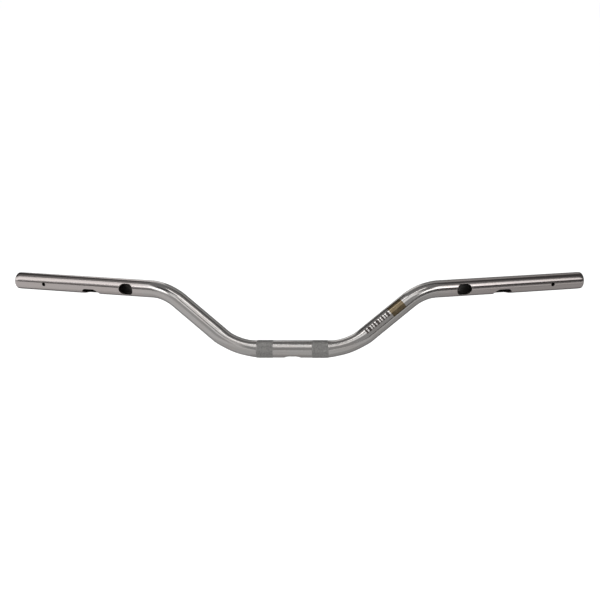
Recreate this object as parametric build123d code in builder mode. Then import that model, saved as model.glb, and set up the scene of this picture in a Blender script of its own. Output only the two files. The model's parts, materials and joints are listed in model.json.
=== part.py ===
from build123d import *
from math import cos, hypot, radians, sin
import os

# A motorcycle handlebar: one bent 1 inch steel tube with a low rise and pulled-back grips.
# Millimetres. The origin is the centre of the straight clamp section, on the tube's own axis.
# +X is the rider's right, +Y points back to the rider over level ground, +Z is up.
# The left half mirrors the right half, so places are given for the right half only.

# The tube
tube_diameter = 25.4
wall = 3.05
tube_radius = tube_diameter / 2
bore_radius = tube_radius - wall

# The tube's axis: the corners where its straight runs would meet, and the bends that round them
lower_corner = Vector(82, 0, 0)
upper_corner = Vector(188, 50, 75)
bar_end = Vector(433.3, 161.6, 57.9)
lower_bend_radius = 95
upper_bend_radius = 80

# The tube's cut ends
end_rounding = 1.2
end_bore_chamfer = 0.5

# Knurled bands, rolled up proud of the tube, where the risers clamp the bar
knurl_inner_edge = 28.4
knurl_outer_edge = 52.3
knurl_height = 0.4

# Openings in each grip. A place is the distance along the grip from the bar end. A clocking is
# the angle round the tube in degrees, from level and forward down towards the underside
pin_hole_place = 54.9
pin_hole_diameter = 6.0
wire_slot_place = 137.9
wire_slot_clocking = 58
wire_slot_length = 30.0
wire_slot_width = 17.0
wire_hole_place = 205.0
wire_hole_length = 24.2
wire_hole_width = 16.8

# The opening under the middle of the clamp section
centre_hole_length = 27.0
centre_hole_width = 18.0

# The rounded rim that deburring leaves on an opening
wire_rim_rounding = 0.6
pin_rim_rounding = 0.3

# Plain printed marks on the right leg, facing forward and up. A place is the distance down the leg
# from the upper corner, and an arc is how far round the tube a mark reaches, in degrees
print_thickness = 0.1
print_clocking = -38
patch_place = 47.5
patch_length = 24.0
patch_arc = 84
stripe_start = 62.0
stripe_widths = (4.0, 1.6, 2.8, 1.6, 4.0, 2.8, 1.6, 4.0, 2.8)
stripe_gap = 2.3
stripe_arc = 34


def mirrored(point, side):
    """The point on the right half for side 1, or its mirror image on the left half for side -1."""
    return Vector(point.X * side, point.Y, point.Z)


def run_plane(inner, outer, side, place, clocking):
    """A plane on the axis of a straight run, that far in from its outer corner.

    Its x runs outward along the run, and its z points out of the tube at that clocking.
    """
    outer = mirrored(outer, side)
    outward = (outer - mirrored(inner, side)).normalized()
    level = Vector(0, -1, 0)
    forward = (level - outward * level.dot(outward)).normalized()
    down = outward.cross(forward) * side
    facing = forward * cos(radians(clocking)) + down * sin(radians(clocking))
    return Plane(origin=outer - outward * place, x_dir=outward, z_dir=facing)


def grip_plane(side, place, clocking=0):
    """A plane on the grip's axis, that far in from the bar end."""
    return run_plane(upper_corner, bar_end, side, place, clocking)


def outer_rim(edges, plane):
    """Those of the edges that lie on the tube's outer surface, round the run that the plane is on."""

    def from_axis(point):
        local = plane.to_local_coords(point)
        return hypot(local.Y, local.Z)

    return edges.filter_by(lambda edge: abs(from_axis(edge @ 0.5) - tube_radius) < 0.01)


# The axis runs from the left bar end to the right one
axis_corners = [mirrored(bar_end, -1), mirrored(upper_corner, -1), mirrored(lower_corner, -1)]
axis_corners += [lower_corner, upper_corner, bar_end]
bend_radii = [upper_bend_radius, lower_bend_radius, lower_bend_radius, upper_bend_radius]
left_end_plane = Plane(origin=axis_corners[0], z_dir=axis_corners[1] - axis_corners[0])

# Every opening is cut from the tube's axis out through one wall: its plane, length, width, rounding
openings = [(-Plane.XY, centre_hole_length, centre_hole_width, wire_rim_rounding)]
for side in (-1, 1):
    pin = grip_plane(side, pin_hole_place)
    slot = grip_plane(side, wire_slot_place, wire_slot_clocking)
    hole = grip_plane(side, wire_hole_place)
    openings.append((pin, pin_hole_diameter, pin_hole_diameter, pin_rim_rounding))
    openings.append((slot, wire_slot_length, wire_slot_width, wire_rim_rounding))
    openings.append((hole, wire_hole_length, wire_hole_width, wire_rim_rounding))
cut_depth = tube_radius + 3

with BuildLine() as tube_axis:
    FilletPolyline(*axis_corners, radius=bend_radii)
axis_path = tube_axis.wires()[0]

os.makedirs("parts", exist_ok=True)

# The tube, solid at first so that its ends can be rounded before it is bored
with BuildPart() as bar_tube:
    with BuildSketch(left_end_plane):
        Circle(tube_radius)
    sweep(path=axis_path)
    end_rims = bar_tube.edges().filter_by(GeomType.CIRCLE).sort_by(Axis.X)
    fillet([end_rims[0], end_rims[-1]], radius=end_rounding)

    with BuildSketch(left_end_plane):
        Circle(bore_radius)
    sweep(path=axis_path, mode=Mode.SUBTRACT)
    bore_rims = bar_tube.edges(Select.LAST).filter_by(GeomType.CIRCLE).sort_by(Axis.X)
    chamfer([bore_rims[0], bore_rims[-1]], length=end_bore_chamfer)

    for plane, length, width, rounding in openings:
        with BuildSketch(plane):
            if length > width:
                SlotOverall(length, width)
            else:
                Circle(width / 2)
        extrude(amount=cut_depth, mode=Mode.SUBTRACT)
        fillet(outer_rim(bar_tube.edges(Select.LAST), plane), radius=rounding)
bar_tube.part.label = "bar_tube"
export_step(bar_tube.part, "parts/bar_tube.step")

# The knurled bands, which follow the tube's axis into the start of each lower bend
for side, hand in ((-1, "left"), (1, "right")):
    band_edges = sorted((side * knurl_inner_edge, side * knurl_outer_edge))
    with BuildPart() as clamp_knurl:
        with BuildSketch(left_end_plane):
            Circle(tube_radius + knurl_height)
        sweep(path=axis_path)
        with BuildSketch(left_end_plane):
            Circle(tube_radius)
        sweep(path=axis_path, mode=Mode.SUBTRACT)
        split(bisect_by=Plane.YZ.offset(band_edges[0]), keep=Keep.TOP)
        split(bisect_by=Plane.YZ.offset(band_edges[1]), keep=Keep.BOTTOM)
    clamp_knurl.part.label = f"{hand}_clamp_knurl"
    export_step(clamp_knurl.part, f"parts/{hand}_clamp_knurl.step")


def printed_section(place):
    """The right leg's cross-section at that place, with its x towards the middle of the print."""
    leg = run_plane(lower_corner, upper_corner, 1, place, print_clocking)
    return Plane(origin=leg.origin, x_dir=leg.z_dir, z_dir=leg.x_dir)


def print_outline(arc):
    """The thin curved section of a mark that lies on the tube."""
    with BuildSketch() as outline:
        with BuildLine():
            under = CenterArc((0, 0), tube_radius, -arc / 2, arc)
            over = CenterArc((0, 0), tube_radius + print_thickness, -arc / 2, arc)
            Line(under @ 0, over @ 0)
            Line(under @ 1, over @ 1)
        make_face()
    return outline.sketch


# The printed patch
with BuildPart() as printed_patch:
    with BuildSketch(printed_section(patch_place)):
        add(print_outline(patch_arc))
    extrude(amount=patch_length / 2, both=True)
printed_patch.part.label = "printed_patch"
export_step(printed_patch.part, "parts/printed_patch.step")

# The row of printed stripes below the patch, as separate solids
with BuildPart() as printed_stripes:
    stripe_edge = stripe_start
    for stripe_width in stripe_widths:
        with BuildSketch(printed_section(stripe_edge + stripe_width / 2)):
            add(print_outline(stripe_arc))
        extrude(amount=stripe_width / 2, both=True)
        stripe_edge += stripe_width + stripe_gap
printed_stripes.part.label = "printed_stripes"
export_step(printed_stripes.part, "parts/printed_stripes.step")
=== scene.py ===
import json
from math import cos, pi, radians, sin, tan

import bpy
import numpy as np
from mathutils import Matrix, Vector


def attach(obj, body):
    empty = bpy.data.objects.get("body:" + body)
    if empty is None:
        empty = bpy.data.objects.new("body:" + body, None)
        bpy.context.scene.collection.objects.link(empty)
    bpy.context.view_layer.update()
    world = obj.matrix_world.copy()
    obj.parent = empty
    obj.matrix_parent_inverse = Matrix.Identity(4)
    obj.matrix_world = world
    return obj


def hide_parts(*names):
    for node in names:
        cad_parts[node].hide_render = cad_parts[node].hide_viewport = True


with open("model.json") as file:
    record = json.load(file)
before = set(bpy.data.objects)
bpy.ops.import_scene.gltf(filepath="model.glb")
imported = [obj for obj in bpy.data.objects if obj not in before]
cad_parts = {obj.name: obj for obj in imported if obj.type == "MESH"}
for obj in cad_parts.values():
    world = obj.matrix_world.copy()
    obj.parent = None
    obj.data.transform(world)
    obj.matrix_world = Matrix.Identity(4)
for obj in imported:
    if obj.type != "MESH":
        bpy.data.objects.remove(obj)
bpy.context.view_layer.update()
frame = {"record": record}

# ---------------------------------------------------------------------------------------------
# Sizes, in metres. The record's mounts give the tube, its openings and where they are; the bends
# are the design's own corners and radii, for the right half. The left half mirrors it.
# ---------------------------------------------------------------------------------------------
MM = 0.001
mounts = {mount["name"]: mount for mount in frame["record"]["mounts"]}
TUBE_RADIUS = mounts["right_grip"]["dims"]["r_mm"] * MM
BORE_RADIUS = mounts["right_end_bore"]["dims"]["r_mm"] * MM
KNURL_RADIUS = mounts["right_riser_clamp"]["dims"]["r_mm"] * MM
KNURL_LENGTH = mounts["right_riser_clamp"]["dims"]["length_mm"] * MM
KNURL_MIDDLE = mounts["right_riser_clamp"]["pos_m"][0]

MIDDLE = np.array([0.0, 0.0, 0.0])
LOWER_CORNER = np.array([82.0, 0.0, 0.0]) * MM
UPPER_CORNER = np.array([188.0, 50.0, 75.0]) * MM
BAR_END = np.array([433.3, 161.6, 57.9]) * MM
LOWER_BEND_RADIUS = 95 * MM
UPPER_BEND_RADIUS = 80 * MM

# How much the bends flatten the tube. The flattening fades in and out over this share of the bend's
# length, and the tube widens across the bend by this share of it
LOWER_BEND_FLATTENING = 0.09
UPPER_BEND_FLATTENING = 0.035
FLATTENING_FADE = 0.3
FLATTENING_WIDENING = 0.35

# The tube's ends. Near them the tube draws in very slightly, over this length and by this much
END_ROUNDING = 1.2 * MM
BORE_CHAMFER = 0.5 * MM
END_DRAW_LENGTH = 7.5 * MM
END_DRAW = 0.45 * MM

# The rounded rims of the openings
WIRE_RIM_ROUNDING = 0.6 * MM
PIN_RIM_ROUNDING = 0.3 * MM

# The tube's mesh: the points in a ring, the distance between rings, and the rings of an end
ROUND_STEPS = 192
BEND_RING_STEP = 2.2 * MM
RUN_RING_STEP = 9 * MM
END_DRAW_RINGS = 10
END_ROUNDING_STEPS = 6

# Lengths that differ by less than this are the same
SAME_LENGTH = 1e-9

# Faces that meet at more than this angle have a sharp edge between them
SHARP_ANGLE = radians(38)


def unit(vector):
    """The vector, brought to a length of 1."""
    return vector / np.linalg.norm(vector)


# ---------------------------------------------------------------------------------------------
# The tube's axis. A length s is measured along it from the middle of the bar, positive to the
# right. Each piece of the axis carries a frame (tangent, forward, up) that turns with the bends
# but never twists, so a place on the tube is a length s and an angle round it.
# ---------------------------------------------------------------------------------------------
class Run:
    """A straight piece of the right half's axis."""

    flattening = 0.0

    def __init__(self, start, point, tangent, forward, length):
        self.start = start
        self.point = point
        self.tangent = tangent
        self.forward = forward
        self.length = length

    def at(self, s):
        """Axis points, tangents and forward directions at the lengths s."""
        s = np.asarray(s)[:, None] - self.start
        ones = np.ones_like(s)
        return self.point + s * self.tangent, ones * self.tangent, ones * self.forward

    def nearest(self, points):
        """The length s of the place on this run that is nearest to each point."""
        s = (points - self.point) @ self.tangent
        return self.start + np.clip(s, 0, self.length)


class Bend:
    """A circular piece of the right half's axis, with the tube slightly flattened in its plane."""

    def __init__(self, start, point, tangent, forward, inward, radius, angle, flattening):
        self.start = start
        self.length = radius * angle
        self.tangent = tangent
        self.forward = forward
        self.inward = inward
        self.radius = radius
        self.angle = angle
        self.centre = point + inward * radius
        self.pivot = unit(np.cross(tangent, inward))
        self.flattening = flattening

    def turned(self, vector, angle):
        """The vector turned about the bend's pivot by each angle."""
        angle = np.asarray(angle)[:, None]
        along = self.pivot * (self.pivot @ vector)
        return along + (vector - along) * np.cos(angle) + np.cross(self.pivot, vector) * np.sin(angle)

    def at(self, s):
        """Axis points, tangents and forward directions at the lengths s."""
        angle = (np.asarray(s) - self.start) / self.radius
        points = self.centre - self.radius * self.turned(self.inward, angle)
        return points, self.turned(self.tangent, angle), self.turned(self.forward, angle)

    def nearest(self, points):
        """The length s of the place on this bend that is nearest to each point."""
        arm = points - self.centre
        angle = np.arctan2(arm @ self.tangent, -(arm @ self.inward))
        return self.start + self.radius * np.clip(angle, 0, self.angle)


def make_axis():
    """The right half's runs and bends, in order from the middle of the bar."""
    corners = [MIDDLE, LOWER_CORNER, UPPER_CORNER, BAR_END]
    bends = [(LOWER_BEND_RADIUS, LOWER_BEND_FLATTENING), (UPPER_BEND_RADIUS, UPPER_BEND_FLATTENING)]
    pieces = []
    start = 0.0
    point = MIDDLE
    forward = np.array([0.0, -1.0, 0.0])
    for corner, following, (radius, flattening) in zip(corners[1:-1], corners[2:], bends):
        tangent = unit(corner - point)
        onward = unit(following - corner)
        angle = float(np.arccos(tangent @ onward))
        setback = radius * tan(angle / 2)
        length = float(np.linalg.norm(corner - point)) - setback
        pieces.append(Run(start, point, tangent, forward, length))
        start += length
        inward = unit(onward - tangent * (onward @ tangent))
        bend_start = corner - tangent * setback
        bend = Bend(start, bend_start, tangent, forward, inward, radius, angle, flattening)
        pieces.append(bend)
        forward = bend.at([start + bend.length])[2][0]
        start += bend.length
        point = corner + onward * setback
    length = float(np.linalg.norm(BAR_END - point))
    pieces.append(Run(start, point, unit(BAR_END - point), forward, length))
    return pieces


AXIS = make_axis()
HALF_LENGTH = AXIS[-1].start + AXIS[-1].length


def smooth_step(t):
    """A soft step from 0 to 1 while t goes from 0 to 1."""
    t = np.clip(t, 0, 1)
    return t * t * (3 - 2 * t)


def up_directions(tangents, forwards):
    """The third direction of each frame on the axis, on the upper side of the bar."""
    ups = np.cross(tangents, forwards)
    return ups * np.sign(ups[:, 2:3])


def place(s, angle, radius):
    """Points on the bar at length s and angle round the tube, that far from the axis.

    Angle 0 is forward and a quarter turn is up. In a bend the section is flattened.
    """
    same_size = np.broadcast_arrays(s, angle, radius)
    s, angle, radius = (np.asarray(values, dtype=float).ravel() for values in same_size)
    out = np.zeros((len(s), 3))
    length = np.minimum(np.abs(s), HALF_LENGTH)
    beyond = np.abs(s) - length
    for piece in AXIS:
        own = (length >= piece.start) & (length <= piece.start + piece.length + SAME_LENGTH)
        if not own.any():
            continue
        points, tangents, forwards = piece.at(length[own])
        ups = up_directions(tangents, forwards)
        arm = forwards * np.cos(angle[own])[:, None] + ups * np.sin(angle[own])[:, None]
        if piece.flattening:
            share = (length[own] - piece.start) / piece.length
            amount = piece.flattening * smooth_step(share / FLATTENING_FADE)
            amount *= smooth_step((1 - share) / FLATTENING_FADE)
            inward = piece.turned(piece.inward, (length[own] - piece.start) / piece.radius)
            across = np.cross(tangents, inward)
            arm = arm - inward * (amount * (arm * inward).sum(1))[:, None]
            arm = arm + across * (FLATTENING_WIDENING * amount * (arm * across).sum(1))[:, None]
        out[own] = points + arm * radius[own][:, None] + tangents * beyond[own][:, None]
    out[:, 0] *= np.where(s < 0, -1, 1)
    return out


def locate(points):
    """For points near the bar: length s, forward and up parts of the arm from the axis."""
    folded = points.copy()
    folded[:, 0] = np.abs(points[:, 0])
    best = np.full(len(points), np.inf)
    result = np.zeros((len(points), 3))
    for piece in AXIS:
        s = piece.nearest(folded)
        axis_points, tangents, forwards = piece.at(s)
        ups = up_directions(tangents, forwards)
        arm = folded - axis_points
        distance = np.linalg.norm(arm, axis=1)
        nearer = distance < best
        best[nearer] = distance[nearer]
        result[nearer, 0] = s[nearer]
        result[nearer, 1] = (arm * forwards).sum(1)[nearer]
        result[nearer, 2] = (arm * ups).sum(1)[nearer]
    result[:, 0] *= np.where(points[:, 0] < 0, -1, 1)
    return result


# ---------------------------------------------------------------------------------------------
# Meshes
# ---------------------------------------------------------------------------------------------
def quads_between(low, high, columns):
    """Quads between two closed rings of vertices, given the index of each ring's first vertex."""
    quads = []
    for column in range(columns):
        beside = (column + 1) % columns
        quads.append((low + column, low + beside, high + beside, high + column))
    return quads


def closed_grid(rows, columns):
    """Quads of a grid that closes on itself both ways."""
    faces = []
    for row in range(rows):
        faces += quads_between(row * columns, (row + 1) % rows * columns, columns)
    return faces


def new_piece(name, points, faces):
    """An object in the scene with that mesh."""
    mesh = bpy.data.meshes.new(name)
    mesh.from_pydata([tuple(p) for p in points], [], faces)
    mesh.validate()
    mesh.update()
    piece = bpy.data.objects.new(name, mesh)
    bpy.context.scene.collection.objects.link(piece)
    return piece


def vertex_points(mesh):
    """The places of the mesh's vertices, one in each row."""
    points = np.zeros(len(mesh.vertices) * 3)
    mesh.vertices.foreach_get("co", points)
    return points.reshape(-1, 3)


def turn_outward(piece):
    """Turns the faces outward if the closed mesh is inside out."""
    mesh = piece.data
    mesh.calc_loop_triangles()
    corners = np.zeros(len(mesh.loop_triangles) * 3, dtype=np.int32)
    mesh.loop_triangles.foreach_get("vertices", corners)
    a, b, c = vertex_points(mesh)[corners.reshape(-1, 3)].transpose(1, 0, 2)
    if (a * np.cross(b, c)).sum() < 0:
        mesh.flip_normals()


def add_straight_attribute(piece):
    """Stores where each vertex would be if the bar were straight, for grain that follows the tube."""
    mesh = piece.data
    straight = mesh.attributes.new("straight", "FLOAT_VECTOR", "POINT")
    straight.data.foreach_set("vector", locate(vertex_points(mesh)).ravel())


def smooth_with_sharp_edges(piece, sharp_angle=SHARP_ANGLE):
    """Shades the piece smooth, but for the edges where its faces meet at more than that angle."""
    mesh = piece.data
    mesh.polygons.foreach_set("use_smooth", [True] * len(mesh.polygons))
    normals = np.array([p.normal for p in mesh.polygons])
    edge_faces = {}
    for polygon in mesh.polygons:
        for key in polygon.edge_keys:
            edge_faces.setdefault(key, []).append(polygon.index)
    for edge in mesh.edges:
        pair = edge_faces.get(tuple(sorted(edge.vertices)), [])
        if len(pair) == 2 and normals[pair[0]] @ normals[pair[1]] < cos(sharp_angle):
            edge.use_edge_sharp = True


def closed_piece(name, points, faces, sharp_angle=SHARP_ANGLE):
    """A closed piece with its faces outward, its sharp edges marked and its straight places stored."""
    piece = new_piece(name, points, faces)
    turn_outward(piece)
    smooth_with_sharp_edges(piece, sharp_angle)
    add_straight_attribute(piece)
    return piece


# ---------------------------------------------------------------------------------------------
# The tube, hollow from end to end, with its openings cut by plugs that leave a rounded rim
# ---------------------------------------------------------------------------------------------
# A plug's outline has this many points, and it stands between these heights over the tube's axis.
# Its flare turns up to this angle in steps, and is raised by this share of the rim's rounding
PLUG_STEPS = 96
PLUG_BOTTOM = 2 * MM
PLUG_TOP = TUBE_RADIUS + 3 * MM
FLARE_STEPS = 7
FLARE_ANGLE = radians(76)
FLARE_LIFT = 0.07

# A vertex is on the outside if it is no further in than this. A face is part of the outside if the
# cosine of the angle between it and the round tube is more than this
OUTSIDE_DEPTH = 0.02 * MM
OUTSIDE_COSINE = 0.98


def along_the_bar():
    """Lengths for the tube's rings: close together in the bends, wide apart on the straight runs."""
    half = [0.0]
    for piece in AXIS:
        step = BEND_RING_STEP if piece.flattening else RUN_RING_STEP
        count = max(2, round(piece.length / step))
        half += [piece.start + piece.length * (k + 1) / count for k in range(count)]
    draw_start = HALF_LENGTH - END_DRAW_LENGTH
    half = [s for s in half if s < draw_start]
    half += list(np.linspace(draw_start, HALF_LENGTH - END_ROUNDING, END_DRAW_RINGS))
    return [-s for s in reversed(half[1:])] + half


def outside_radius(s):
    """The tube's outer radius at length s, before the rounded rim."""
    share = (abs(s) - (HALF_LENGTH - END_DRAW_LENGTH)) / END_DRAW_LENGTH
    return TUBE_RADIUS - END_DRAW * max(0.0, share) ** 2


def tube_rows():
    """(length, radius) of every ring of the tube: out along the outside, round the end and back inside."""
    lengths = along_the_bar()
    outside = [(s, outside_radius(s)) for s in lengths]
    rim = []
    for k in range(1, END_ROUNDING_STEPS + 1):
        turn = k / END_ROUNDING_STEPS * pi / 2
        s = HALF_LENGTH - END_ROUNDING * (1 - sin(turn))
        rim.append((s, outside_radius(s) - END_ROUNDING * (1 - cos(turn))))
    rim.append((HALF_LENGTH, BORE_RADIUS + BORE_CHAMFER))
    rim.append((HALF_LENGTH - BORE_CHAMFER, BORE_RADIUS))
    inside = [(s, BORE_RADIUS) for s in reversed(lengths)]
    other_rim = [(-s, radius) for s, radius in reversed(rim)]
    return outside + rim + inside + other_rim


def opening_plug(name, mount, rounding):
    """A closed plug in the shape of an opening, flared at the top so that it leaves a rounded rim."""
    middle = np.array(mount["pos_m"])
    facing = unit(np.array(mount["axis"]))
    s = locate(middle[None])[0][0]
    axis_point = place([s], [0], [0])[0]
    run = unit(place([s + MM], [0], [0])[0] - axis_point)
    across = np.cross(facing, run)
    half_width = mount["dims"]["r_mm"] * MM
    half_length = mount["dims"].get("slot_length_mm", 2 * mount["dims"]["r_mm"]) / 2 * MM
    turns = (np.arange(PLUG_STEPS) + 0.5) / PLUG_STEPS * 2 * pi
    shift = np.sign(np.cos(turns)) * (half_length - half_width)

    def ring(grown, height=None, sunk=0.0):
        """The outline grown by that much, at that height over the axis or sunk into the tube's surface."""
        u = shift + (half_width + grown) * np.cos(turns)
        v = (half_width + grown) * np.sin(turns)
        surface = np.sqrt(TUBE_RADIUS**2 - v**2)
        heights = surface - sunk if height is None else np.full(PLUG_STEPS, height)
        return axis_point + u[:, None] * run + v[:, None] * across + heights[:, None] * facing

    rings = [ring(0, height=PLUG_BOTTOM)]
    for k in range(FLARE_STEPS + 1):
        turn = FLARE_ANGLE * k / FLARE_STEPS
        grown = rounding * (1 - cos(turn))
        rings.append(ring(grown, sunk=rounding * (1 - sin(turn) - FLARE_LIFT)))
    rings.append(ring(rounding * (1 - cos(FLARE_ANGLE)), height=PLUG_TOP))
    points = np.concatenate(rings)
    faces = []
    for row in range(len(rings) - 1):
        faces += quads_between(row * PLUG_STEPS, (row + 1) * PLUG_STEPS, PLUG_STEPS)
    faces.append(tuple(reversed(range(PLUG_STEPS))))
    faces.append(tuple(range(len(points) - PLUG_STEPS, len(points))))
    plug = new_piece(name, points, faces)
    turn_outward(plug)
    return plug


def cut(piece, plugs):
    """Takes the plugs out of the piece and leaves it with a plain mesh."""
    for plug in plugs:
        modifier = piece.modifiers.new("cut", "BOOLEAN")
        modifier.operation = "DIFFERENCE"
        modifier.solver = "EXACT"
        modifier.object = plug
    bpy.context.view_layer.update()
    depsgraph = bpy.context.evaluated_depsgraph_get()
    mesh = bpy.data.meshes.new_from_object(piece.evaluated_get(depsgraph))
    piece.modifiers.clear()
    piece.data = mesh
    for plug in plugs:
        bpy.data.objects.remove(plug)


def true_normals_outside(tube):
    """Gives the straight runs' outer faces the exact normals of a round tube, for clean reflections."""
    mesh = tube.data
    points = vertex_points(mesh)
    where = locate(points)
    length = np.abs(where[:, 0])
    radius = np.hypot(where[:, 1], where[:, 2])
    on_run = np.zeros(len(points), dtype=bool)
    for piece in AXIS:
        if not piece.flattening:
            end = min(piece.start + piece.length, HALF_LENGTH - END_DRAW_LENGTH)
            on_run |= (length >= piece.start) & (length <= end)
    outside = on_run & (radius > TUBE_RADIUS - OUTSIDE_DEPTH)
    axis_points = place(where[:, 0], 0, 0)
    radial = (points - axis_points) / np.maximum(radius, SAME_LENGTH)[:, None]
    normals = np.zeros(len(mesh.loops) * 3)
    mesh.corner_normals.foreach_get("vector", normals)
    normals = normals.reshape(-1, 3)
    for polygon in mesh.polygons:
        loops = list(polygon.loop_indices)
        vertices = [mesh.loops[k].vertex_index for k in loops]
        cosine = np.array(polygon.normal) @ radial[vertices[0]]
        if all(outside[v] for v in vertices) and cosine > OUTSIDE_COSINE:
            normals[loops] = radial[vertices]
    mesh.normals_split_custom_set(normals.tolist())


def make_tube():
    """The bored tube with its openings."""
    rows = tube_rows()
    turns = np.arange(ROUND_STEPS) / ROUND_STEPS * 2 * pi
    points = np.concatenate([place(np.full(ROUND_STEPS, s), turns, radius) for s, radius in rows])
    tube = new_piece("bar", points, closed_grid(len(rows), ROUND_STEPS))
    turn_outward(tube)
    plugs = []
    for name, mount in mounts.items():
        if "wire" in name:
            plugs.append(opening_plug("plug_" + name, mount, WIRE_RIM_ROUNDING))
        if "pin_hole" in name:
            plugs.append(opening_plug("plug_" + name, mount, PIN_RIM_ROUNDING))
    cut(tube, plugs)
    smooth_with_sharp_edges(tube)
    true_normals_outside(tube)
    add_straight_attribute(tube)
    return tube


# ---------------------------------------------------------------------------------------------
# Knurled bands: two sets of crossing spiral grooves, which leave rows of small diamonds
# ---------------------------------------------------------------------------------------------
DIAMONDS_ROUND = 56
KNURL_PITCH = 2.1 * MM
KNURL_DEPTH = 0.34 * MM
# The knurl fades out at the band's edges over this length
KNURL_EDGE = 0.5 * MM
# The tips stop this far short of the full radius, which keeps them inside the CAD sleeve
KNURL_TIP_GAP = 0.01 * MM
# The slopes would rise to this height, but the tips are flat at 1
KNURL_SLOPE_HEIGHT = 1.25
# The band's inside is this far under the tube's surface
KNURL_HIDDEN_DEPTH = 0.4 * MM
# The band's mesh: points in a diamond's width, and rings in its length
DIAMOND_COLUMNS = 8
DIAMOND_RINGS = 10
KNURL_SHARP_ANGLE = radians(50)


def zigzag(t):
    """0 at whole numbers, 1 halfway between them."""
    return 1 - np.abs(2 * (t - np.floor(t)) - 1)


def knurl_height(s, angle):
    """How high the knurl stands between its grooves and its tips, from 0 to 1."""
    turns = DIAMONDS_ROUND * angle / (2 * pi)
    first = zigzag(turns + s / KNURL_PITCH)
    second = zigzag(turns - s / KNURL_PITCH)
    return np.minimum(np.minimum(first, second) * KNURL_SLOPE_HEIGHT, 1.0)


def make_knurl(name, side):
    """The knurled band on the right half for side 1, or on the left half for side -1."""
    columns = DIAMONDS_ROUND * DIAMOND_COLUMNS
    inner_edge = abs(KNURL_MIDDLE) - KNURL_LENGTH / 2
    steps = round(KNURL_LENGTH / (KNURL_PITCH / DIAMOND_RINGS))
    lengths = inner_edge + KNURL_LENGTH * np.arange(steps + 1) / steps
    turns = np.arange(columns) / columns * 2 * pi
    valley = KNURL_RADIUS - KNURL_TIP_GAP - KNURL_DEPTH
    rings = []
    for s in lengths:
        from_edge = min(s - lengths[0], lengths[-1] - s)
        fade = float(smooth_step(from_edge / KNURL_EDGE))
        radius = TUBE_RADIUS + (valley - TUBE_RADIUS) * fade + KNURL_DEPTH * fade * knurl_height(s, turns)
        rings.append(place(np.full(columns, s * side), turns, radius))
    hidden = TUBE_RADIUS - KNURL_HIDDEN_DEPTH
    rings.append(place(np.full(columns, lengths[-1] * side), turns, hidden))
    rings.append(place(np.full(columns, lengths[0] * side), turns, hidden))
    faces = closed_grid(len(rings), columns)
    return closed_piece(name, np.concatenate(rings), faces, KNURL_SHARP_ANGLE)


# ---------------------------------------------------------------------------------------------
# Printed marks on the right leg: thin curved skins on the tube, plain and with no lettering
# ---------------------------------------------------------------------------------------------
# How far over the tube's surface a skin starts and ends, and the turn round the tube of its middle
PRINT_CLEARANCE = 0.02 * MM
PRINT_THICKNESS = 0.09 * MM
PRINT_TURN = radians(38)

PATCH_FROM_CORNER = 47.5 * MM
PATCH_LENGTH = 24 * MM
PATCH_ARC = radians(84)
PATCH_CORNER = 0.9 * MM

STRIPE_START = 62 * MM
STRIPE_WIDTHS = [width * MM for width in (4.0, 1.6, 2.8, 1.6, 4.0, 2.8, 1.6, 4.0, 2.8)]
STRIPE_GAP = 2.3 * MM
STRIPE_ARC = radians(34)
STRIPE_CORNER = 0.4 * MM

# A skin's mesh: rows round the tube and columns along it
SKIN_ROWS = 40
SKIN_COLUMNS = 8


def leg_length(from_corner):
    """The length s of the place on the right leg that is that far down from the upper corner."""
    leg = AXIS[2]
    corner = float(np.linalg.norm(UPPER_CORNER - leg.point))
    return leg.start + corner - from_corner


def printed_skin(middle, length, arc, corner):
    """Points and faces of a thin curved skin with rounded corners, on the right leg."""
    half_length, half_arc = length / 2, arc * TUBE_RADIUS / 2
    points = []
    for layer in (PRINT_CLEARANCE, PRINT_THICKNESS):
        for y in np.linspace(-half_arc, half_arc, SKIN_ROWS + 1):
            inset = max(0.0, abs(y) - (half_arc - corner))
            reach = half_length - corner + float(np.sqrt(max(corner**2 - inset**2, 0)))
            for column in range(SKIN_COLUMNS + 1):
                x = reach * (2 * column / SKIN_COLUMNS - 1)
                points.append((middle + x, PRINT_TURN + y / TUBE_RADIUS, TUBE_RADIUS + layer))
    stride = SKIN_COLUMNS + 1
    layer_size = stride * (SKIN_ROWS + 1)
    faces = []
    for row in range(SKIN_ROWS):
        for column in range(SKIN_COLUMNS):
            a = row * stride + column
            quad = (a, a + 1, a + 1 + stride, a + stride)
            faces.append(quad)
            faces.append(tuple(v + layer_size for v in reversed(quad)))
    last_row = SKIN_ROWS * stride
    rim = list(range(SKIN_COLUMNS))
    rim += range(SKIN_COLUMNS, last_row + SKIN_COLUMNS, stride)
    rim += range(last_row + SKIN_COLUMNS, last_row, -1)
    rim += range(last_row, 0, -stride)
    for a, b in zip(rim, rim[1:] + rim[:1]):
        faces.append((b, a, a + layer_size, b + layer_size))
    s, turn, radius = np.array(points).T
    return place(s, turn, radius), faces


def make_patch():
    """The patch, as one skin."""
    points, faces = printed_skin(leg_length(PATCH_FROM_CORNER), PATCH_LENGTH, PATCH_ARC, PATCH_CORNER)
    return closed_piece("printed_patch_skin", points, faces)


def make_stripes():
    """The row of stripes, as separate skins in one mesh."""
    all_points = []
    all_faces = []
    edge = STRIPE_START
    count = 0
    for width in STRIPE_WIDTHS:
        points, faces = printed_skin(leg_length(edge + width / 2), width, STRIPE_ARC, STRIPE_CORNER)
        all_points.append(points)
        all_faces += [tuple(v + count for v in face) for face in faces]
        count += len(points)
        edge += width + STRIPE_GAP
    return closed_piece("printed_stripe_skins", np.concatenate(all_points), all_faces)


# ---------------------------------------------------------------------------------------------
# Materials
# ---------------------------------------------------------------------------------------------
# The steel turns browner from the first of these distances before the grip to the second one on it
GRIP_TINT_BEFORE = 20 * MM
GRIP_TINT_AFTER = 30 * MM

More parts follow.
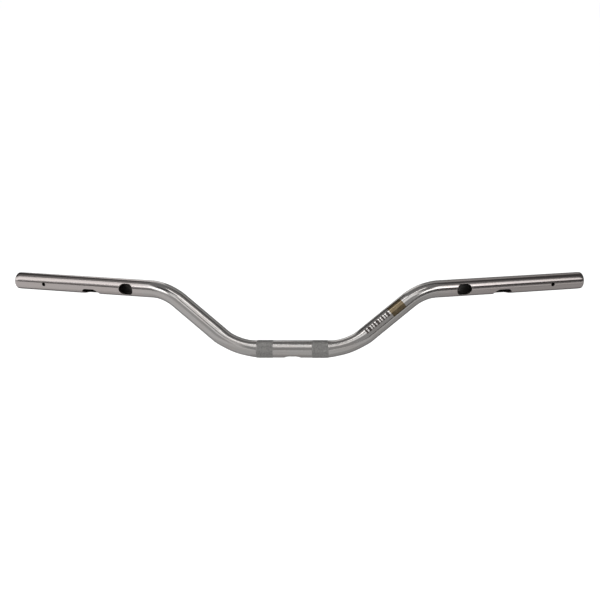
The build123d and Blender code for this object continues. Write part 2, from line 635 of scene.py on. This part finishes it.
# A face of the tube is part of its inside if it is no further out than this from the bore
INSIDE_HEIGHT = 0.1 * MM


def new_material(name):
    """A node material: (material, its node tree, its shader)."""
    material = bpy.data.materials.new(name)
    material.use_nodes = True
    tree = material.node_tree
    return material, tree, tree.nodes["Principled BSDF"]


def straight_noise(tree, cell, detail=3.0, roughness=0.55, seed=0.0):
    """Noise on the straightened bar, with cells of that (length, width) in metres: its factor socket."""
    attribute = tree.nodes.new("ShaderNodeAttribute")
    attribute.attribute_name = "straight"
    mapping = tree.nodes.new("ShaderNodeMapping")
    mapping.inputs["Scale"].default_value = (1 / cell[0], 1 / cell[1], 1 / cell[1])
    mapping.inputs["Location"].default_value = (seed, seed, seed)
    noise = tree.nodes.new("ShaderNodeTexNoise")
    noise.inputs["Scale"].default_value = 1.0
    noise.inputs["Detail"].default_value = detail
    noise.inputs["Roughness"].default_value = roughness
    tree.links.new(attribute.outputs["Vector"], mapping.inputs["Vector"])
    tree.links.new(mapping.outputs["Vector"], noise.inputs["Vector"])
    return noise.outputs["Fac"]


def spread(tree, value, low, high, to_low, to_high):
    """The value's range low..high mapped to to_low..to_high, clamped."""
    node = tree.nodes.new("ShaderNodeMapRange")
    node.inputs["From Min"].default_value = low
    node.inputs["From Max"].default_value = high
    node.inputs["To Min"].default_value = to_low
    node.inputs["To Max"].default_value = to_high
    tree.links.new(value, node.inputs["Value"])
    return node.outputs["Result"]


def feed(tree, socket, value):
    """Sets the socket to a number or colour, or links another socket to it."""
    if isinstance(value, (tuple, float, int)):
        socket.default_value = value
    else:
        tree.links.new(value, socket)


def mixed(tree, factor, first, second):
    """A colour between two others: each is a colour or a socket."""
    node = tree.nodes.new("ShaderNodeMix")
    node.data_type = "RGBA"
    for name, value in (("Factor", factor), ("A", first), ("B", second)):
        feed(tree, node.inputs[name], value)
    return node.outputs["Result"]


def bumped(tree, height, distance, normal=None):
    """A normal that follows the height, on top of another normal if there is one."""
    node = tree.nodes.new("ShaderNodeBump")
    node.inputs["Distance"].default_value = distance
    node.inputs["Strength"].default_value = 1.0
    tree.links.new(height, node.inputs["Height"])
    if normal is not None:
        tree.links.new(normal, node.inputs["Normal"])
    return node.outputs["Normal"]


def straight_place(tree):
    """Sockets for the place on the straightened bar: length, forward and up."""
    attribute = tree.nodes.new("ShaderNodeAttribute")
    attribute.attribute_name = "straight"
    parts = tree.nodes.new("ShaderNodeSeparateXYZ")
    tree.links.new(attribute.outputs["Vector"], parts.inputs["Vector"])
    return parts.outputs["X"], parts.outputs["Y"], parts.outputs["Z"]


def calculated(tree, operation, *values):
    """A Math node's result: each value is a number or a socket."""
    node = tree.nodes.new("ShaderNodeMath")
    node.operation = operation
    for socket, value in zip(node.inputs, values):
        feed(tree, socket, value)
    return node.outputs["Value"]


def tube_steel():
    """Satin polished steel: fine scratches along the tube, faint clouds, and browner grips."""
    material, tree, shader = new_material("satin_tube_steel")
    shader.inputs["Metallic"].default_value = 1.0
    shader.inputs["Specular Tint"].default_value = (0.5, 0.5, 0.5, 1)
    dark_leg, pale_leg = (0.242, 0.235, 0.229, 1), (0.266, 0.259, 0.253, 1)
    dark_grip, pale_grip = (0.254, 0.232, 0.226, 1), (0.28, 0.255, 0.249, 1)
    brown_cloud = (0.262, 0.235, 0.221, 1)
    scratches = straight_noise(tree, (30 * MM, 0.35 * MM), detail=4, seed=3.1)
    clouds = straight_noise(tree, (30 * MM, 12 * MM), detail=3, seed=11.7)
    waves = straight_noise(tree, (20 * MM, 8 * MM), detail=1, seed=5.5)
    length = calculated(tree, "ABSOLUTE", straight_place(tree)[0])
    grip = AXIS[-1].start
    on_grip = spread(tree, length, grip - GRIP_TINT_BEFORE, grip + GRIP_TINT_AFTER, 0, 1)
    scratched = spread(tree, scratches, 0.3, 0.7, 0, 1)
    plain = mixed(tree, scratched, dark_leg, pale_leg)
    warm = mixed(tree, scratched, dark_grip, pale_grip)
    polished = mixed(tree, on_grip, plain, warm)
    colour = mixed(tree, spread(tree, clouds, 0.35, 0.7, 0, 0.4), polished, brown_cloud)
    tree.links.new(colour, shader.inputs["Base Color"])
    tree.links.new(spread(tree, scratches, 0.3, 0.7, 0.13, 0.175), shader.inputs["Roughness"])
    normal = bumped(tree, waves, 0.002 * MM)
    normal = bumped(tree, scratches, 0.0004 * MM, normal)
    tree.links.new(normal, shader.inputs["Normal"])
    return material


def bore_steel():
    """The tube's unpolished inside."""
    material, tree, shader = new_material("raw_bore_steel")
    shader.inputs["Metallic"].default_value = 1.0
    dark_steel, pale_steel = (0.10, 0.095, 0.09, 1), (0.2, 0.19, 0.18, 1)
    streaks = straight_noise(tree, (20 * MM, 1 * MM), detail=4, seed=8.0)
    colour = mixed(tree, spread(tree, streaks, 0.3, 0.7, 0, 1), dark_steel, pale_steel)
    tree.links.new(colour, shader.inputs["Base Color"])
    tree.links.new(spread(tree, streaks, 0.3, 0.7, 0.45, 0.6), shader.inputs["Roughness"])
    tree.links.new(bumped(tree, streaks, 0.02 * MM), shader.inputs["Normal"])
    return material


def knurled_steel():
    """The duller steel of the knurled bands, with fine specks."""
    material, tree, shader = new_material("knurled_steel")
    shader.inputs["Metallic"].default_value = 1.0
    dark_speck, pale_speck = (0.13, 0.127, 0.122, 1), (0.2, 0.196, 0.19, 1)
    specks = straight_noise(tree, (0.6 * MM, 0.6 * MM), detail=3, seed=2.2)
    colour = mixed(tree, spread(tree, specks, 0.35, 0.65, 0, 1), dark_speck, pale_speck)
    tree.links.new(colour, shader.inputs["Base Color"])
    tree.links.new(spread(tree, specks, 0.3, 0.7, 0.24, 0.36), shader.inputs["Roughness"])
    tree.links.new(bumped(tree, specks, 0.01 * MM), shader.inputs["Normal"])
    return material


def brown_print():
    """A thin plain brown film over the steel."""
    material, tree, shader = new_material("brown_print")
    shader.inputs["Metallic"].default_value = 0.9
    shader.inputs["Specular Tint"].default_value = (0.5, 0.5, 0.5, 1)
    dark_film, pale_film = (0.08, 0.06, 0.034, 1), (0.12, 0.094, 0.06, 1)
    fade = straight_noise(tree, (6 * MM, 4 * MM), detail=4, seed=1.3)
    film = mixed(tree, spread(tree, fade, 0.35, 0.7, 0, 1), dark_film, pale_film)
    tree.links.new(film, shader.inputs["Base Color"])
    tree.links.new(spread(tree, fade, 0.3, 0.7, 0.14, 0.22), shader.inputs["Roughness"])
    return material


def dark_print():
    """The slightly worn dark ink of the stripes."""
    material, tree, shader = new_material("dark_print")
    shader.inputs["Specular IOR Level"].default_value = 0.2
    fresh_ink, worn_ink = (0.022, 0.016, 0.014, 1), (0.06, 0.05, 0.046, 1)
    wear = straight_noise(tree, (2 * MM, 1 * MM), detail=4, seed=6.4)
    colour = mixed(tree, spread(tree, wear, 0.45, 0.75, 0, 1), fresh_ink, worn_ink)
    tree.links.new(colour, shader.inputs["Base Color"])
    tree.links.new(spread(tree, wear, 0.3, 0.7, 0.35, 0.5), shader.inputs["Roughness"])
    return material


def finish_tube(piece):
    """Polished steel outside and raw steel on the bore's faces."""
    mesh = piece.data
    mesh.materials.clear()
    mesh.materials.append(tube_steel())
    mesh.materials.append(bore_steel())
    middles = np.array([polygon.center for polygon in mesh.polygons])
    where = locate(middles)
    inside = np.hypot(where[:, 1], where[:, 2]) < BORE_RADIUS + INSIDE_HEIGHT
    mesh.polygons.foreach_set("material_index", inside.astype(np.int32))


# ---------------------------------------------------------------------------------------------
# The pieces
# ---------------------------------------------------------------------------------------------
tube = make_tube()
finish_tube(tube)
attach(tube, "root")
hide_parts("bar_tube")

knurl_material = knurled_steel()
for hand, side in (("left", -1), ("right", 1)):
    band = make_knurl(hand + "_knurl", side)
    band.data.materials.append(knurl_material)
    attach(band, "root")
    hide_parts(hand + "_clamp_knurl")

patch = make_patch()
patch.data.materials.append(brown_print())
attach(patch, "root")
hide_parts("printed_patch")

stripes = make_stripes()
stripes.data.materials.append(dark_print())
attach(stripes, "root")
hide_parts("printed_stripes")


# ---------------------------------------------------------------------------------------------
# Floor, light and camera
# ---------------------------------------------------------------------------------------------
FLOOR_DROP = 0.45
FLOOR_SIZE = 60.0
BACKDROP_HEIGHT = 40.0
BACKDROP_INSET = 1.0
BACKDROP_SIDES = 64

WORLD_BRIGHTNESS = 0.134
# How far the softboxes are from the bar, but for one strip that hangs close over it
SOFTBOX_DISTANCE = 3.0
NEAR_STRIP_DISTANCE = 1.2

# The camera, placed so that the bar fills the frame as it does in the photo
CAMERA_PLACE = Vector((120.31, -2149.3, 720.2)) * MM
CAMERA_AIM = Vector((10.66, 21.8, 67.9)) * MM
CAMERA_ROLL = -0.014
CAMERA_LENS = 93.46
CAMERA_SENSOR_WIDTH = 36


def direction(azimuth, elevation):
    """The unit vector to that azimuth and elevation, in degrees. Azimuth 0 is the front and 90 is +X."""
    azimuth, elevation = radians(azimuth), radians(elevation)
    return Vector((sin(azimuth) * cos(elevation), -cos(azimuth) * cos(elevation), sin(elevation)))


def glowing(name, strength, grey=0.0, roughness=1.0, specular=0.0):
    """A material that gives off an even white light, over a matt grey."""
    material, _, shader = new_material(name)
    shader.inputs["Base Color"].default_value = (grey, grey, grey, 1)
    shader.inputs["Roughness"].default_value = roughness
    shader.inputs["Specular IOR Level"].default_value = specular
    shader.inputs["Emission Color"].default_value = (1, 1, 1, 1)
    shader.inputs["Emission Strength"].default_value = strength
    return material


def level_rectangle(name, middle, half_size, z):
    """A level rectangle with its middle at (x, y), at that height."""
    x, y = middle
    half_x, half_y = half_size
    corners = ((-1, -1), (1, -1), (1, 1), (-1, 1))
    points = [(x + i * half_x, y + j * half_y, z) for i, j in corners]
    return new_piece(name, points, [(0, 1, 2, 3)])


def make_floor():
    """A pale floor that glows, so that it looks white and shows hardly any shadow."""
    floor = level_rectangle("floor", (0, 0), (FLOOR_SIZE / 2, FLOOR_SIZE / 2), -FLOOR_DROP)
    floor.data.materials.append(glowing("pale_floor", 0.97, grey=0.2, roughness=0.9, specular=0.1))


def make_backdrop():
    """A round white wall at the floor's edge, seen only by the camera, so that the floor has no horizon."""
    turns = np.arange(BACKDROP_SIDES) / BACKDROP_SIDES * 2 * pi
    ring = np.stack([np.cos(turns), np.sin(turns)], axis=1) * (FLOOR_SIZE / 2 - BACKDROP_INSET)
    low = np.column_stack([ring, np.full(BACKDROP_SIDES, -FLOOR_DROP)])
    high = np.column_stack([ring, np.full(BACKDROP_SIDES, BACKDROP_HEIGHT)])
    faces = quads_between(0, BACKDROP_SIDES, BACKDROP_SIDES)
    backdrop = new_piece("backdrop", np.concatenate([low, high]), faces)
    backdrop.data.materials.append(glowing("white_backdrop", 1.0))
    backdrop.visible_diffuse = False
    backdrop.visible_glossy = False
    backdrop.visible_transmission = False
    backdrop.visible_shadow = False


def softbox(name, azimuth, elevation, size, radiance, distance=SOFTBOX_DISTANCE):
    """A rectangular soft light that faces the bar, with that brightness where it is mirrored."""
    data = bpy.data.lights.new(name, "AREA")
    data.shape = "RECTANGLE"
    data.size, data.size_y = size
    data.energy = radiance * pi * size[0] * size[1]
    lamp = bpy.data.objects.new(name, data)
    lamp.location = direction(azimuth, elevation) * distance
    lamp.rotation_euler = direction(azimuth, elevation).to_track_quat("Z", "Y").to_euler()
    lamp.visible_camera = False
    bpy.context.scene.collection.objects.link(lamp)


def floor_card(name, middle, half_size, layer, radiance):
    """A card just above the floor, seen only in reflections, of that brightness in what the bar mirrors:
    painted shade where it is darker than the floor, painted light where it is brighter.
    """
    card = level_rectangle(name, middle, half_size, -FLOOR_DROP + layer * MM)
    card.data.materials.append(glowing(name, radiance))
    card.visible_camera = False
    card.visible_diffuse = False
    card.visible_shadow = False


def make_lights():
    """Softboxes all round in a dim room, and cards on the floor that the bar's underside mirrors, which
    paint shade and light into its reflections.
    """
    world = bpy.data.worlds.new("studio")
    world.use_nodes = True
    background = world.node_tree.nodes["Background"]
    background.inputs["Color"].default_value = (1, 1, 1, 1)
    background.inputs["Strength"].default_value = WORLD_BRIGHTNESS
    bpy.context.scene.world = world
    softbox("left_softbox", -83, 27, (1.2, 2.4), 2.1)
    softbox("left_inner_softbox", -57, 32, (1.1, 1.0), 4.4)
    softbox("left_low_softbox", -37, 20, (2.2, 2.2), 0.85)
    softbox("left_side_softbox", -66, 24, (1.6, 1.7), 0.5)
    softbox("left_high_strip", -32, 44, (0.6, 1.4), 1.8)
    softbox("left_top_strip", -45, 74, (0.4, 0.14), 5.0, distance=NEAR_STRIP_DISTANCE)
    softbox("right_softbox", 51, 27, (1.0, 0.8), 5.0)
    softbox("right_outer_softbox", 67, 31, (0.95, 1.1), 2.6)
    softbox("right_high_strip", 28, 72, (1.38, 0.3), 4.6)
    softbox("front_softbox", 9, 18, (3.96, 2.75), 0.64)
    softbox("front_middle_strip", 15, 46, (2.04, 0.42), 2.2)
    softbox("front_high_softbox", 5, 57, (1.6, 0.8), 2.3)
    softbox("overhead_softbox", -20, 89, (7.0, 2.1), 0.37)
    softbox("back_softbox", 178, 40, (2.8, 2.4), 0.7)
    softbox("back_left_softbox", 194, 24, (0.9, 1.7), 1.9)
    # The right and back cards are darker than the floor: painted shade on the floor under, behind and right
    # of the bar, as the bar mirrors it. The left card is brighter: painted light.
    floor_card("right_back_card", (4.32, 3.8), (3.47, 4.28), 1, 0.76)
    floor_card("right_front_card", (5.0, -6.0), (3.41, 4.36), 2, 0.1)
    floor_card("right_near_card", (2.61, 0.96), (2.8, 1.19), 3, 0.88)
    floor_card("left_card", (-6.7, -1.5), (6.0, 4.5), 4, 1.42)
    floor_card("back_card", (0.0, 15.4), (30.0, 14.95), 5, 0.25)


def make_camera():
    """A camera in front of the bar and above it, at the photo's viewing angle."""
    data = bpy.data.cameras.new("camera")
    data.sensor_width = CAMERA_SENSOR_WIDTH
    data.lens = CAMERA_LENS
    camera = bpy.data.objects.new("camera", data)
    camera.location = CAMERA_PLACE
    turn = (CAMERA_PLACE - CAMERA_AIM).to_track_quat("Z", "Y").to_matrix()
    camera.rotation_euler = (turn @ Matrix.Rotation(CAMERA_ROLL, 3, "Z")).to_euler()
    bpy.context.scene.collection.objects.link(camera)
    bpy.context.scene.camera = camera


make_floor()
make_backdrop()
make_lights()
make_camera()
bpy.context.scene.view_settings.view_transform = "Standard"
